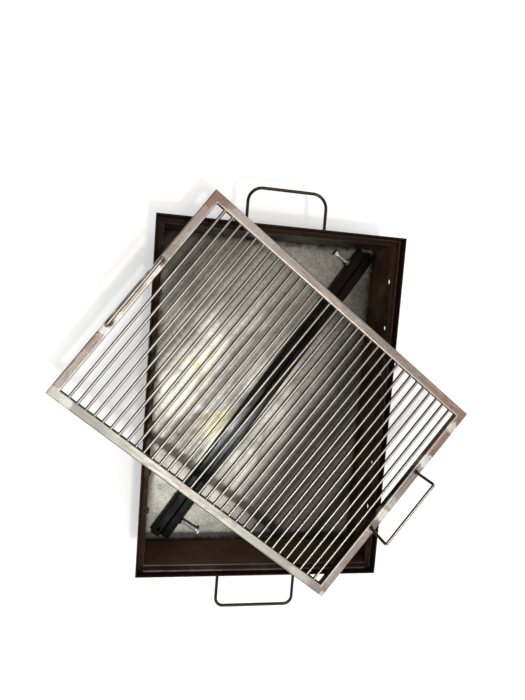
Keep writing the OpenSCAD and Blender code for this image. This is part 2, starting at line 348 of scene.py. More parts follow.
def paint(name, turn, base, brown, brown_share=0.5, rough=0.36, dust=0.25, gloss=0.4,
          sheen=(1.0, 0.76, 0.62), edges=0.15, outside=None, far_sheen=None,
          highlight_line=None, band=None, towards=None):
    """Satin black enamel on steel, browned by heat, dusty, and chipped to bare metal on its edges, which also
    carry a painted highlight.

    outside is the colour of faces the fire never reached, far_sheen the sheen at the part's far end. Faces
    turned towards +Y are painted lighter as reflected light, and those turned towards -Y are made darker.
    highlight_line is the colour of a painted highlight line: a band of that width at the ledge's inner edge,
    or else on the faces turned towards a direction, brighter towards the left.
    """
    s = Shader(name)
    cloud = s.noise(s.coords(turn, (5, 9, 9)), 1.0, 6, 0.62, 0.8)
    patch = s.noise(s.coords(turn, (22, 34, 34), (2, 5, 1)), 1.0, 5, 0.6)
    peel = s.noise(s.coords(turn), 420.0, 2, 0.5)
    run = s.noise(s.coords(turn, (6, 90, 90)), 1.0, 4, 0.6)
    colour = s.mix(s.span(cloud, 0.38, 0.66, 0, brown_share), base, brown)
    colour = s.mix(s.span(run, 0.45, 0.75, 0, 0.35), colour, tuple(c * 0.55 for c in base))
    grey = tuple(0.5 * c + 0.5 * g for c, g in zip(brown, DUST))
    colour = s.mix(s.span(patch, 0.52, 0.78, 0, dust), colour, grey)
    roughness = s.span(patch, 0.35, 0.70, rough - 0.05, rough + 0.08)
    if outside:
        # painted light: faces turned towards +Y (the near wall's inside) are lighter and browner, and faces
        # turned towards -Y are darker
        colour = s.mix(s.span(s.facing((0, 1, 0)), 0.5, 0.9, 0, 0.45), colour, NEAR_WALL_PAINTED_LIGHT)
        colour = s.mix(s.span(s.facing((0, -1, 0)), 0.5, 0.9, 0, 0.75), colour, FAR_WALL)
        colour = s.mix(s.span(s.outward((0, 0, 0)), -0.02, 0.02), colour,
                       s.mix(s.span(cloud, 0.35, 0.65), outside, tuple(c * 1.9 for c in outside)))
    chip = s.span(s.noise(s.coords(), 60.0, 5, 0.7), 0.54, 0.64)
    metallic = 0.0
    # edges chipped to bare metal here and there, and lightened all along as a painted highlight
    if edges:
        bare = s.math("MULTIPLY", s.edge(0.0012), chip)
        edge_highlight = s.math("MULTIPLY", s.edge(0.0010), edges)
        colour = s.mix(s.math("MAXIMUM", edge_highlight, bare), colour, BARE_EDGE_AND_HIGHLIGHT)
        metallic = s.math("MULTIPLY", bare, 0.6)
    # painted highlight line along the ledge's inner edge, or on the faces turned towards a direction, fading
    # to the right
    if highlight_line:
        if band:
            line = s.span(s.past(LEDGE_IN_X, LEDGE_IN_Y), band, band * 0.6)
        else:
            turned = s.span(s.facing(towards), 0.25, 0.4)
            line = s.math("MULTIPLY", turned, s.span(s.facing(UP), 0.25, 0.4))
            side = s.math("ABSOLUTE", s.part(s.coords(), 0))
            line = s.math("MULTIPLY", line, s.span(side, LEDGE_IN_X + 0.002, LEDGE_IN_X - 0.002))
        left = s.span(s.part(s.coords(), 0), -0.25, 0.20, 1.0, 0.45)
        line = s.math("MULTIPLY", line, s.math("MULTIPLY", left, s.span(patch, 0.35, 0.6, 0.5, 1.0)))
        colour = s.mix(line, colour, highlight_line)
    if far_sheen:
        sheen = s.mix(s.span(s.part(s.coords(turn), 0), -0.10, 0.22), sheen, far_sheen)
    s.bump(peel, 0.00010, 0.5)
    s.bump(cloud, 0.0010, 0.25)
    return s.finish(colour, metallic, roughness, Specular_IOR_Level=gloss, Specular_Tint=sheen)


# where the bare floor has taken temper colours, its yellow brightened into a painted highlight where the
# lamps reflect
TEMPER_GLINT_SPOTS = [(x * LEDGE_IN_X, y * LEDGE_IN_Y, FLOOR_TOP) for x, y in ((-0.55, 0.22), (-0.41, -0.18))]
SHEET_LIGHT, SHEET_DARK, SHEET_OIL = (0.402, 0.399, 0.366), (0.228, 0.225, 0.208), (0.425, 0.415, 0.35)
SHEET_STAIN, SHEET_SPECK, SHEET_LINE = (0.25, 0.20, 0.15), (0.10, 0.085, 0.075), (0.12, 0.085, 0.06)
TEMPER_YELLOW_GLINT, TEMPER_MAUVE = (1.30, 1.24, 0.94), (0.98, 0.97, 0.985)
WALL_SEAM_DARK, FAR_CORNER_DARK = (0.045, 0.036, 0.030), (0.045, 0.038, 0.034)
# tones of the painted shade on the floor's right side
RIGHT_SHADE_DARK, RIGHT_SHADE_LIGHT = (0.030, 0.026, 0.024), (0.070, 0.062, 0.057)


def floor_steel():
    """Bare rolled sheet: oily clouds, faint temper colours with a painted yellow highlight, scratches, darker
    along its edges, and painted shade towards its right.
    """
    s = Shader("bare_floor_steel")
    here = s.coords()
    wide = s.noise(s.coords(0.3, (3.2, 4.0, 4.0)), 1.0, 5, 0.6, 0.8)
    cloud = s.noise(s.coords(0.0, (12, 12, 12), (1, 7, 0)), 1.0, 7, 0.68, 0.5)
    grain = s.noise(s.coords(1.571, (40, 700, 700)), 1.0, 3, 0.6)
    mottle = s.noise(here, 210.0, 5, 0.75)
    speck = s.noise(here, 340.0, 4, 0.7)
    stain = s.noise(s.coords(0.8, (7, 10, 10), (4, 2, 0)), 1.0, 6, 0.7, 1.4)
    temper = s.noise(s.coords(0.5, (9, 13, 13), (8, 3, 0)), 1.0, 5, 0.6, 1.0)
    thread = s.noise(s.coords(0.2, (16, 16, 16), (2, 9, 0)), 1.0, 3, 0.5, 1.8)
    colour = s.mix(s.span(cloud, 0.30, 0.72), SHEET_LIGHT, SHEET_DARK)
    colour = s.mix(s.span(wide, 0.45, 0.68, 0, 0.5), colour, SHEET_OIL)
    mottle_tone = s.mix(s.span(mottle, 0.32, 0.68), (0.70, 0.70, 0.695), (1.23, 1.235, 1.23))
    colour = s.mix(1.0, colour, mottle_tone, "MULTIPLY")
    colour = s.mix(s.span(stain, 0.56, 0.70, 0, 0.45), colour, SHEET_STAIN)
    temper_glint = s.math("MAXIMUM", *[s.span(s.away(here, spot), 0.062, 0.02) for spot in TEMPER_GLINT_SPOTS])
    # yellow temper tint that also lifts the colour, a painted highlight at the lamps' reflections
    yellow_glint = s.math("MULTIPLY", temper_glint, s.span(temper, 0.46, 0.56))
    mauve = s.math("MULTIPLY", s.math("ADD", temper_glint, 0.25), s.span(temper, 0.47, 0.40), clamp=True)
    colour = s.mix(yellow_glint, colour, TEMPER_YELLOW_GLINT, "MULTIPLY")
    colour = s.mix(mauve, colour, TEMPER_MAUVE, "MULTIPLY")
    colour = s.mix(s.span(speck, 0.64, 0.74, 0, 0.5), colour, SHEET_SPECK)
    line = s.span(s.math("ABSOLUTE", s.math("SUBTRACT", thread, 0.5)), 0.006, 0.0015)
    line = s.math("MULTIPLY", line, s.span(stain, 0.48, 0.56, 0, 0.8))
    colour = s.mix(line, colour, SHEET_LINE)
    # darker along the walls, darkest in the far left corner
    rim_x = s.math("SUBTRACT", LEDGE_IN_X, s.math("ABSOLUTE", s.part(here, 0)))
    rim_y = s.math("SUBTRACT", LEDGE_IN_Y, s.math("ABSOLUTE", s.part(here, 1)))
    seam = s.math("ADD", s.math("MINIMUM", rim_x, rim_y), s.span(cloud, 0.2, 0.8, -0.010, 0.010))
    colour = s.mix(s.span(seam, 0.014, 0.0, 0, 0.85), colour, WALL_SEAM_DARK)
    corner = s.away(here, (-LEDGE_IN_X, LEDGE_IN_Y, FLOOR_TOP))
    corner = s.math("ADD", corner, s.span(wide, 0.2, 0.8, -0.04, 0.04))
    colour = s.mix(s.span(corner, 0.155, 0.03, 0, 0.9), colour, FAR_CORNER_DARK)
    # painted shade: the floor darkened towards its right and near sides, where the metal would mirror a dark
    # room
    nearer = s.math("MULTIPLY", s.math("SUBTRACT", 0.10, s.part(here, 1)), 0.35)
    right_shade = s.math("ADD", s.part(here, 0), nearer)
    right_shade = s.math("ADD", right_shade, s.span(wide, 0.25, 0.75, -0.05, 0.05))
    shade_tone = s.mix(s.span(mottle, 0.35, 0.65), RIGHT_SHADE_DARK, RIGHT_SHADE_LIGHT)
    colour = s.mix(s.span(right_shade, 0.0, 0.22, 0, 0.88), colour, shade_tone)
    roughness = s.math("ADD", s.span(cloud, 0.3, 0.7, 0.33, 0.42), s.span(stain, 0.5, 0.7, 0, 0.12))
    roughness = s.math("ADD", roughness, s.span(mottle, 0.3, 0.7, -0.03, 0.05))
    s.bump(wide, 0.0022, 0.15)
    s.bump(cloud, 0.00035, 0.30)
    s.bump(mottle, 0.00006, 0.4)
    s.bump(grain, 0.00004, 0.35)
    return s.finish(colour, 0.93, roughness)


def zinc(name, base=(0.96, 0.96, 0.94), rough=0.20, metal=0.28):
    """Plated steel, with painted shade where it turns away from the eye."""
    s = Shader(name)
    mottled = s.noise(s.coords(), 160.0, 5, 0.6)
    fine = s.noise(s.coords(), 900.0, 3, 0.6)
    colour = s.mix(s.span(mottled, 0.35, 0.7), base, tuple(c * 0.82 for c in base))
    # painted shade: darker where the surface is seen at a grazing angle
    rim = s.add("ShaderNodeLayerWeight").outputs["Facing"]
    colour = s.mix(s.span(rim, 0.14, 0.50, 0, 0.9), colour, tuple(c * 0.10 for c in base))
    s.bump(mottled, 0.00006, 0.5)
    return s.finish(colour, metal, s.span(fine, 0.3, 0.7, rough - 0.05, rough + 0.12))


def weld_metal(name, base, tint, rough, metallic=1.0):
    """Rippled weld metal, its base colour clouded with a tint."""
    s = Shader(name)
    ripple = s.noise(s.coords(), 240.0, 4, 0.6)
    broad = s.noise(s.coords(), 70.0, 4, 0.6)
    colour = s.mix(s.span(broad, 0.35, 0.68), base, tint)
    s.bump(ripple, 0.00025, 0.7)
    return s.finish(colour, metallic, s.span(ripple, 0.3, 0.7, rough - 0.08, rough + 0.12))


# ---------------------------------------------------------------- mesh building


def mesh_object(name, verts, faces, mat, body, smooth=True):
    mesh = bpy.data.meshes.new(name)
    mesh.from_pydata([tuple(v) for v in verts], [], faces)
    mesh.update()
    if smooth:
        for p in mesh.polygons:
            p.use_smooth = True
    obj = bpy.data.objects.new(name, mesh)
    bpy.context.scene.collection.objects.link(obj)
    obj.data.materials.append(mat)
    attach(obj, body)
    return obj


def skin(rings, sides):
    """Faces of a tube of stacked rings of points, closed at both ends."""
    faces = []
    for i in range(rings - 1):
        low, high = i * sides, (i + 1) * sides
        faces += [(low + k, low + (k + 1) % sides, high + (k + 1) % sides, high + k) for k in range(sides)]
    faces.append(tuple(range(sides))[::-1])
    faces.append(tuple((rings - 1) * sides + k for k in range(sides)))
    return faces


RING_STEPS, RING_SIDES = 28, 8
LUMP_RINGS, LUMP_SIDES = 6, 10


class Pile:
    """Gathers many closed shapes into one mesh."""

    def __init__(self):
        self.verts, self.faces = [], []

    def add(self, verts, faces):
        n = len(self.verts)
        self.verts += [Vector(v) for v in verts]
        self.faces += [tuple(n + i for i in f) for f in faces]

    def tube(self, path, radii, sides=10):
        """A closed tube swept along path, with a radius per point."""
        rings = []
        n = len(path)
        up = None
        for i, p in enumerate(path):
            t = (path[min(i + 1, n - 1)] - path[max(i - 1, 0)]).normalized()
            if up is None:
                up = t.orthogonal().normalized()
            up = (up - t * up.dot(t)).normalized()
            side = t.cross(up)
            rings.append([p + (up * math.cos(a) + side * math.sin(a)) * radii[i]
                          for a in (2 * math.pi * k / sides for k in range(sides))])
        verts = [v for ring in rings for v in ring]
        self.add(verts, skin(n, sides))

    def bead(self, start, end, radius, pitch, wobble=0.18):
        """A rippled weld bead between two points."""
        length = (end - start).length
        steps = max(6, int(length / pitch) * 4)
        path, radii = [], []
        for i in range(steps + 1):
            t = i / steps
            phase = (t * length / pitch) % 1.0
            taper = min(1.0, 6 * t, 6 * (1 - t)) ** 0.5 if 0 < t < 1 else 0.25
            radii.append(radius * taper * (0.86 + 0.16 * phase) * (1 + wobble * (rng.random() - 0.5)))
            path.append(start.lerp(end, t))
        self.tube(path, radii)

    def ring(self, middle, axis, major, minor, lumps=9, wobble=0.25, squash=1.0):
        """A lumpy fillet weld round a rod's foot."""
        axis = axis.normalized()
        a = axis.orthogonal().normalized()
        b = axis.cross(a)
        n, m = RING_STEPS, RING_SIDES
        verts, faces = [], []
        sizes = [1 + wobble * (rng.random() - 0.5) for _ in range(lumps)]
        for i in range(n):
            ang = 2 * math.pi * i / n
            size = sizes[int(i * lumps / n)] * (0.9 + 0.12 * math.cos(lumps * ang))
            out = a * math.cos(ang) + b * math.sin(ang)
            for j in range(m):
                w = 2 * math.pi * j / m
                thick = minor * size
                reach, rise = major + thick * math.cos(w), thick * squash * math.sin(w)
                verts.append(middle + out * reach + axis * rise)
        for i in range(n):
            for j in range(m):
                here, there = i * m, (i + 1) % n * m
                faces.append((here + j, there + j, there + (j + 1) % m, here + (j + 1) % m))
        self.add(verts, faces)

    def lump(self, middle, size, flat=0.6):
        """A small uneven blob, such as a weld tack."""
        rings, sides = LUMP_RINGS, LUMP_SIDES
        verts, faces = [middle + Vector((0, 0, -size.z * flat))], []
        jit = [[1 + 0.3 * (rng.random() - 0.5) for _ in range(sides)] for _ in range(rings)]
        for i in range(1, rings):
            phi = math.pi * i / rings
            for k in range(sides):
                a = 2 * math.pi * k / sides
                r = jit[i][k]
                verts.append(middle + Vector((size.x * math.sin(phi) * math.cos(a) * r,
                                              size.y * math.sin(phi) * math.sin(a) * r,
                                              -size.z * flat * math.cos(phi) * r)))
        verts.append(middle + Vector((0, 0, size.z * flat)))
        for k in range(sides):
            faces.append((0, 1 + (k + 1) % sides, 1 + k))
        for i in range(rings - 2):
            for k in range(sides):
                p, q = 1 + i * sides, 1 + (i + 1) * sides
                faces.append((p + k, p + (k + 1) % sides, q + (k + 1) % sides, q + k))
        last = 1 + (rings - 2) * sides
        for k in range(sides):
            faces.append((last + k, last + (k + 1) % sides, len(verts) - 1))
        self.add(verts, faces)

    def make(self, name, mat, body):
        return mesh_object(name, self.verts, self.faces, mat, body)


# ---------------------------------------------------------------- finishes on the CAD nodes


MERGE = 0.00002
SHARP_ANGLE = math.radians(50)


def dress(names, mat, bevel=None):
    """Gives CAD nodes their material and a small edge rounding."""
    for name in names:
        obj = NODES[name]
        obj.data.materials.clear()
        obj.data.materials.append(mat)
        if bevel:
            weld = obj.modifiers.new("weld", "WELD")
            weld.merge_threshold = MERGE
            mod = obj.modifiers.new("edge", "BEVEL")
            mod.width = bevel
            mod.segments = 2
            mod.limit_method = "ANGLE"
            mod.angle_limit = SHARP_ANGLE


def handle_feet(name):
    """The two foot centres of an upright grate handle."""
    pts = node_points(name)
    low = pts[pts[:, 2] < GRATE_TOP + 0.001]
    v = (low - np.array(G_MID)) @ np.array(G_V)
    split = (v.min() + v.max()) / 2
    return [Vector(low[v < split].mean(0)), Vector(low[v > split].mean(0))]


grate_feet = {side: handle_feet("grate_handle_" + side) for side in ("left", "right")}
# the middles of the frame's corners, named as they lie in the plan
CORNER_LEFT, CORNER_TOP, CORNER_BOTTOM, CORNER_RIGHT = (
    on_grate(su * (G_HALF_L - TUBE / 2), sv * (G_HALF_W - TUBE / 2), GRATE_TOP)
    for su in (-1, 1) for sv in (-1, 1))
FOOT_NEAR, FOOT_FAR = grate_feet["right"]
HEEL_NEAR, HEEL_FAR = grate_feet["left"]
# the spots ground bright or browned round the welds, each a place, a reach and a strength
ground_left = [(CORNER_LEFT + G_U * 0.004, 0.017, 0.62), (CORNER_LEFT + G_U * 0.030, 0.014, 0.8)]
ground_tip = [(CORNER_BOTTOM + (G_U - G_V) * 0.006, 0.007, 1.0)]
ground_top = [(CORNER_TOP + G_U * 0.052, 0.026, 0.36), (CORNER_TOP + G_U * 0.092, 0.026, 0.28),
              (CORNER_TOP + G_U * 0.130, 0.022, 0.18)]
ground_right = [(CORNER_RIGHT - G_V * 0.034, 0.012, 0.9), (FOOT_FAR + G_V * 0.022, 0.021, 1.0),
                (FOOT_NEAR + G_V * 0.038, 0.019, 1.0), (FOOT_NEAR + G_V * 0.066, 0.016, 0.55)]
ground_feet = [(HEEL_FAR - G_V * 0.022, 0.013, 1.0), (HEEL_FAR - G_V * 0.044, 0.011, 0.8),
               (HEEL_NEAR + G_V * 0.020, 0.011, 0.8), (HEEL_NEAR - G_V * 0.015, 0.010, 0.9)]
stain_right = [(FOOT_FAR + G_V * 0.009 - G_U * 0.004, 0.0125, 0.75), (FOOT_NEAR + G_V * 0.010, 0.014, 0.7),
               (FOOT_NEAR - G_V * 0.020, 0.016, 0.35), (FOOT_NEAR - G_V * 0.064, 0.044, 0.36)]
stain_left = [(HEEL_NEAR, 0.009, 0.8), (HEEL_FAR, 0.009, 0.8), (HEEL_FAR + G_V * 0.026, 0.014, 0.35),
              (HEEL_NEAR - G_V * 0.038, 0.013, 0.42), (HEEL_NEAR - G_V * 0.055, 0.013, 0.42)]
flushed = [(CORNER_RIGHT, 0.15), (CORNER_TOP, 0.045)]
stain_top = [(CORNER_TOP, 0.032, 0.55)]
ground_near = [(CORNER_BOTTOM - G_U * 0.062, 0.026, 0.30)]
stain_near = [(CORNER_LEFT + G_U * 0.316, 0.040, 0.20)]
stain_tip = [(CORNER_BOTTOM - G_U * 0.006, 0.022, 0.30), (CORNER_BOTTOM - G_U * 0.034, 0.018, 0.14)]
TAUPE, NEAR_STEEL = (0.625, 0.565, 0.53), (0.475, 0.465, 0.43)

ACROSS = G_TURN + math.pi / 2
steel_long = stainless("stainless_long_far", G_TURN, ground_top, stain_top, TAUPE, 0.30, flushed)
steel_long_near = stainless("stainless_long_near", G_TURN, ground_left + ground_near + ground_tip,
                            stain_near + stain_tip, NEAR_STEEL, 0.40)
steel_short_left = stainless("stainless_short_left", ACROSS, ground_left + ground_feet,
                             stain_left + stain_top, TAUPE, 0.30, flushed)
steel_short_right = stainless("stainless_short_right", ACROSS, ground_right + ground_tip,
                              stain_right + stain_tip, TAUPE, 0.30, flushed)
steel_rods = round_bar("stainless_rods", ACROSS, tuple(G_U), base=(0.80, 0.78, 0.74), rough=0.33)
steel_wire = round_bar("stainless_wire", ACROSS, tuple(-G_U), base=(0.74, 0.69, 0.64), rough=0.30)

RIM_BLACK, RIM_BROWN = (0.013, 0.006, 0.004), (0.026, 0.012, 0.008)
wall_paint = paint("wall_paint", 0.0, (0.040, 0.019, 0.011), (0.125, 0.085, 0.052), brown_share=0.80,
                   rough=0.55, dust=0.16, gloss=0.12, outside=(0.012, 0.010, 0.009))
# each rim has a painted highlight line along its ledge's inner edge, brightest on the near rim, and the root
# fillet has one on its near side
rim_paint = paint("rim_paint", 0.0, RIM_BLACK, RIM_BROWN, rough=0.24, dust=0.05, gloss=0.24, edges=0.3,
                  highlight_line=(0.050, 0.034, 0.028), band=0.0012)
near_paint = paint("rim_paint_near", 0.0, RIM_BLACK, RIM_BROWN, rough=0.24, dust=0.05, gloss=0.20,
                   edges=0.3, highlight_line=(0.20, 0.165, 0.15), band=0.0014)
root_paint = paint("rim_root_paint", 0.0, RIM_BLACK, RIM_BROWN, brown_share=0.4, rough=0.30, dust=0.0,
                   gloss=0.08, edges=0, highlight_line=(0.30, 0.255, 0.235), towards=(0, 1, 0))
rod_paint = paint("handle_paint", 0.0, (0.010, 0.009, 0.008), (0.028, 0.022, 0.018), brown_share=0.4,
                  rough=0.28, dust=0.10)
post_paint = paint("post_paint", POST_TURN, (0.004, 0.004, 0.005), (0.010, 0.008, 0.007),
                   brown_share=0.4, rough=0.18, dust=0.06, gloss=0.23,
                   sheen=(0.91, 0.955, 1.0), far_sheen=(1.0, 0.72, 0.55))
floor_mat = floor_steel()
zinc_mat = zinc("zinc_plate")
nut_mat = zinc("nut_steel", base=(0.30, 0.29, 0.275), rough=0.36, metal=0.85)
black_weld = weld_metal("painted_weld", (0.035, 0.028, 0.025), (0.10, 0.075, 0.06), 0.42, 0.1)
bright_weld = weld_metal("stainless_weld", (0.70, 0.66, 0.62), (0.38, 0.30, 0.27), 0.34)
burnt_weld = weld_metal("burnt_weld", (0.30, 0.24, 0.21), (0.08, 0.06, 0.055), 0.36)
tack_weld = weld_metal("floor_tack", (0.035, 0.028, 0.024), (0.11, 0.09, 0.075), 0.5, 0.5)

RIM_ROUNDING, POST_ROUNDING = 0.0008, 0.0003
dress(["tray_floor"], floor_mat)
dress(["long_wall_left", "long_wall_right", "short_wall_near", "short_wall_far"], wall_paint)
dress(["rim_angle_left", "rim_angle_right", "rim_angle_far"], rim_paint, RIM_ROUNDING)
dress(["rim_angle_near"], near_paint, RIM_ROUNDING)
dress(["tray_handle_near", "tray_handle_far"], rod_paint)
dress(["grate_tube_long_near"], steel_long_near)
dress(["grate_tube_long_far"], steel_long)
dress(["grate_tube_short_left"], steel_short_left)
dress(["grate_tube_short_right"], steel_short_right)
dress(["grate_rods"], steel_rods)
dress(["grate_handle_left", "grate_handle_right"], steel_wire)
dress(["post_tube_left", "post_tube_right"], post_paint, POST_ROUNDING)
dress(["post_nut_left", "post_nut_right"], nut_mat, POST_ROUNDING)


THREAD_PITCH, THREAD_DEPTH, THREAD_SIDES = 0.00125, 0.00072, 20
SLICES_PER_TURN = 6
HEAD_SIDES = 48
HEAD_CHAMFER = math.radians(30)
PLAIN_SHANK, THREAD_RUN_IN, TIP_CHAMFER = 0.003, 0.002, 0.0012


def threaded_screw(node):
    """A hex-head screw with a real thread, over the plain CAD screw and inside its box."""
    pts = node_points(node)
    mid = pts.mean(0)
    axis = Vector(np.linalg.svd(pts - mid, full_matrices=False)[2][0]).normalized()
    along = (pts - mid) @ np.array(axis)
    off = np.linalg.norm((pts - mid) - np.outer(along, np.array(axis)), axis=1)
    if along[off > off.max() * 0.8].mean() > 0:
        axis, along = -axis, -along
    # axis now points from the head to the tip
    start, stop = along.min(), along.max()
    shank_r = off[along > (start + stop) / 2].max()
    across_flats = off.max() * 2 * math.cos(math.pi / 6)
    head_h = along[off > off.max() * 0.8].max() - start
    origin = Vector(mid) + axis * start
    side = axis.cross(UP)

    def at(r, ang, d):
        return origin + axis * d + (UP * math.cos(ang) + side * math.sin(ang)) * r

    pile = Pile()
    # head: six flats, the top edge turned to a circle, a washer face below
    crown = across_flats / 2 * 0.97
    rings = []
    for kind in ("hollow", "crown", "shoulder", "skirt", "washer"):
        ring = []
        for k in range(HEAD_SIDES):
            ang = 2 * math.pi * k / HEAD_SIDES
            turn = (ang + math.pi / 6) % (math.pi / 3) - math.pi / 6
            hexagon = across_flats / 2 / math.cos(turn)
            drop = max(0.0, (hexagon - crown) * math.tan(HEAD_CHAMFER))
            r, d = {"hollow": (crown * 0.55, 0.00018), "crown": (crown, 0.0), "shoulder": (hexagon, drop),
                    "skirt": (hexagon, head_h - 0.0004 - drop * 0.3), "washer": (crown, head_h)}[kind]
            ring.append(at(r, ang, d))
        rings.append(ring)
    pile.add([v for ring in rings for v in ring], skin(len(rings), HEAD_SIDES))
    # shank
    first, last = head_h - 0.0003, stop - start
    plain = head_h + PLAIN_SHANK
    slices = int((last - first) / THREAD_PITCH * SLICES_PER_TURN)
    verts = []
    for i in range(slices + 1):
        d = first + (last - first) * i / slices
        run_in = min(1.0, max(0.0, (d - plain) / THREAD_RUN_IN))
        tip = max(0.0, d - (last - TIP_CHAMFER)) * 0.9
        for k in range(THREAD_SIDES):
            phase = (d / THREAD_PITCH - k / THREAD_SIDES) % 1.0
            groove = THREAD_DEPTH * (1 - abs(2 * phase - 1)) * run_in
            verts.append(at(shank_r * 0.995 - groove - tip, 2 * math.pi * k / THREAD_SIDES, d))
    pile.add(verts, skin(slices + 1, THREAD_SIDES))
    return pile


for screw_side in ("left", "right"):
    screw = threaded_screw("clamp_screw_" + screw_side)
    piece = mesh_object("threaded_screw_" + screw_side, screw.verts, screw.faces, zinc_mat,
                        "screw_" + screw_side, smooth=False)
    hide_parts("clamp_screw_" + screw_side)

# ---------------------------------------------------------------- welds

# mitre beads on the grate frame: ground flush on top, left proud inside the corners and below
pile = Pile()
inside = TUBE - 0.0002
for su in (-1, 1):
    for sv in (-1, 1):
        edge = on_grate(su * (G_HALF_L - inside), sv * (G_HALF_W - inside), 0)
        pile.bead(edge + UP * (GRATE_BOTTOM + 0.001), edge + UP * (GRATE_TOP - 0.0015),
                  radius=0.0013, pitch=0.0018, wobble=0.15)
        out = on_grate(su * (G_HALF_L - 0.003), sv * (G_HALF_W - 0.003), GRATE_BOTTOM + 0.0004)
        pile.bead(out, Vector((edge.x, edge.y, GRATE_BOTTOM + 0.0004)),
                  radius=0.0016, pitch=0.0022, wobble=0.2)
pile.make("grate_mitre_welds", bright_weld, "grate")

# small fillets where each rod meets the frame
rod_lo, rod_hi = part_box("grate_rods")
rod_z = (rod_lo.z + rod_hi.z) / 2
rod_r = (rod_hi.z - rod_lo.z) / 2
rod_pts = node_points("grate_rods") - np.array(G_MID)
ROD_GAP = 0.004
groups = []
for u in sorted(rod_pts @ np.array(G_U)):
    if not groups or u - groups[-1][-1] > ROD_GAP:
        groups.append([])
    groups[-1].append(u)
rod_centres = [(g[0] + g[-1]) / 2 for g in groups]
rod_half = max(rod_pts @ np.array(G_V))
pile = Pile()
for u in rod_centres:
    for sv in (-1, 1):
        foot = on_grate(u, sv * (rod_half - 0.0006), rod_z)
        pile.ring(foot, G_V, rod_r * 0.96, minor=0.0011, lumps=6, wobble=0.5)
pile.make("grate_rod_welds", bright_weld, "grate")

# fillets at the feet of the grate handles
pile = Pile()
for side, feet in grate_feet.items():
    for foot in feet:
        pile.ring(Vector((foot.x, foot.y, GRATE_TOP + 0.0004)), UP, 0.0034, minor=0.0017, lumps=7,
                  wobble=0.5, squash=0.8)
pile.make("grate_handle_welds", burnt_weld, "grate")

# tray handles on the rim
pile = Pile()
for node, sy in (("tray_handle_far", 1), ("tray_handle_near", -1)):
    lo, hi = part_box(node)
    r = (hi.z - lo.z) / 2
    z = (hi.z + lo.z) / 2
    for x in (lo.x + r, hi.x - r):
        pile.ring(Vector((x, sy * (RIM_OUT_Y + 0.0004), z)), Vector((0, 1, 0)), r * 1.02,
                  minor=0.0016, lumps=7, wobble=0.5)
pile.make("tray_handle_welds", black_weld, "tray")

# the rim's outside corners, and the tray's inside corners below it
pile = Pile()
for sx in (-1, 1):
    for sy in (-1, 1):
        edge = Vector((sx * (RIM_OUT_X - 0.0010), sy * (RIM_OUT_Y - 0.0010), 0))
        pile.bead(edge + UP * (RIM_BOTTOM + 0.001), edge + UP * (RIM_TOP - 0.001),
                  radius=0.0012, pitch=0.0020)
        foot = Vector((sx * (LEDGE_IN_X - 0.0004), sy * (LEDGE_IN_Y - 0.0004), 0))
        pile.bead(foot + UP * (FLOOR_TOP + 0.001), foot + UP * (RIM_BOTTOM - 0.001),
                  radius=0.0016, pitch=0.0028, wobble=0.3)
pile.make("rim_mitre_welds", black_weld, "tray")

# the rounded root of the rolled angle, where its ledge turns up into its lip
ROOT_R, ROOT_SINK, ROOT_STEPS = 0.0032, 0.0003, 8
LIP_T = 0.003
ledge_top = RIM_BOTTOM + LIP_T
lip_x, lip_y = RIM_OUT_X - LIP_T, RIM_OUT_Y - LIP_T
profile = [(-ROOT_SINK, ROOT_R), (-ROOT_SINK, -ROOT_SINK), (ROOT_R, -ROOT_SINK)]
for i in range(ROOT_STEPS + 1):
    a = math.pi / 2 * i / ROOT_STEPS
    profile.append((ROOT_R * (1 - math.sin(a)), ROOT_R * (1 - math.cos(a))))
loop = [(1, 1), (-1, 1), (-1, -1), (1, -1)]
verts = [Vector((sx * (lip_x - d), sy * (lip_y - d), ledge_top + h)) for sx, sy in loop for d, h in profile]
count = len(profile)
faces = [(i * count + k, i * count + (k + 1) % count,
          (i + 1) % 4 * count + (k + 1) % count, (i + 1) % 4 * count + k)
         for i in range(4) for k in range(count)]
mesh_object("rim_root_fillet", verts, faces, root_paint, "tray")

# stitch welds under the ledge outside, between wall and angle
pile = Pile()
wall_out_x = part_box("long_wall_right")[1].x
wall_out_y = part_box("short_wall_far")[1].y
STITCH_HALF, STITCH_OUT = 0.012, 0.0006
STITCH = {"radius": 0.0018, "pitch": 0.0026, "wobble": 0.3}
stitch_z = RIM_BOTTOM - STITCH_OUT
for k in range(-3, 4):
    y = k * 0.092
    for sx in (-1, 1):
        x = sx * (wall_out_x + STITCH_OUT)
        pile.bead(Vector((x, y - STITCH_HALF, stitch_z)), Vector((x, y + STITCH_HALF, stitch_z)), **STITCH)
for k in range(-2, 3):
    x = k * 0.088
    for sy in (-1, 1):
        y = sy * (wall_out_y + STITCH_OUT)
        pile.bead(Vector((x - STITCH_HALF, y, stitch_z)), Vector((x + STITCH_HALF, y, stitch_z)), **STITCH)
pile.make("ledge_stitch_welds", black_weld, "tray")

# beads up the tray's outside corners
pile = Pile()
for sx in (-1, 1):
    for sy in (-1, 1):
        foot = Vector((sx * (wall_out_x - 0.0003), sy * (wall_out_y - 0.0003), 0))
        pile.bead(foot + UP * (FLOOR_TOP + 0.0005), foot + UP * (RIM_BOTTOM - 0.0005),
                  radius=0.0015, pitch=0.0026, wobble=0.3)
pile.make("wall_corner_welds", black_weld, "tray")

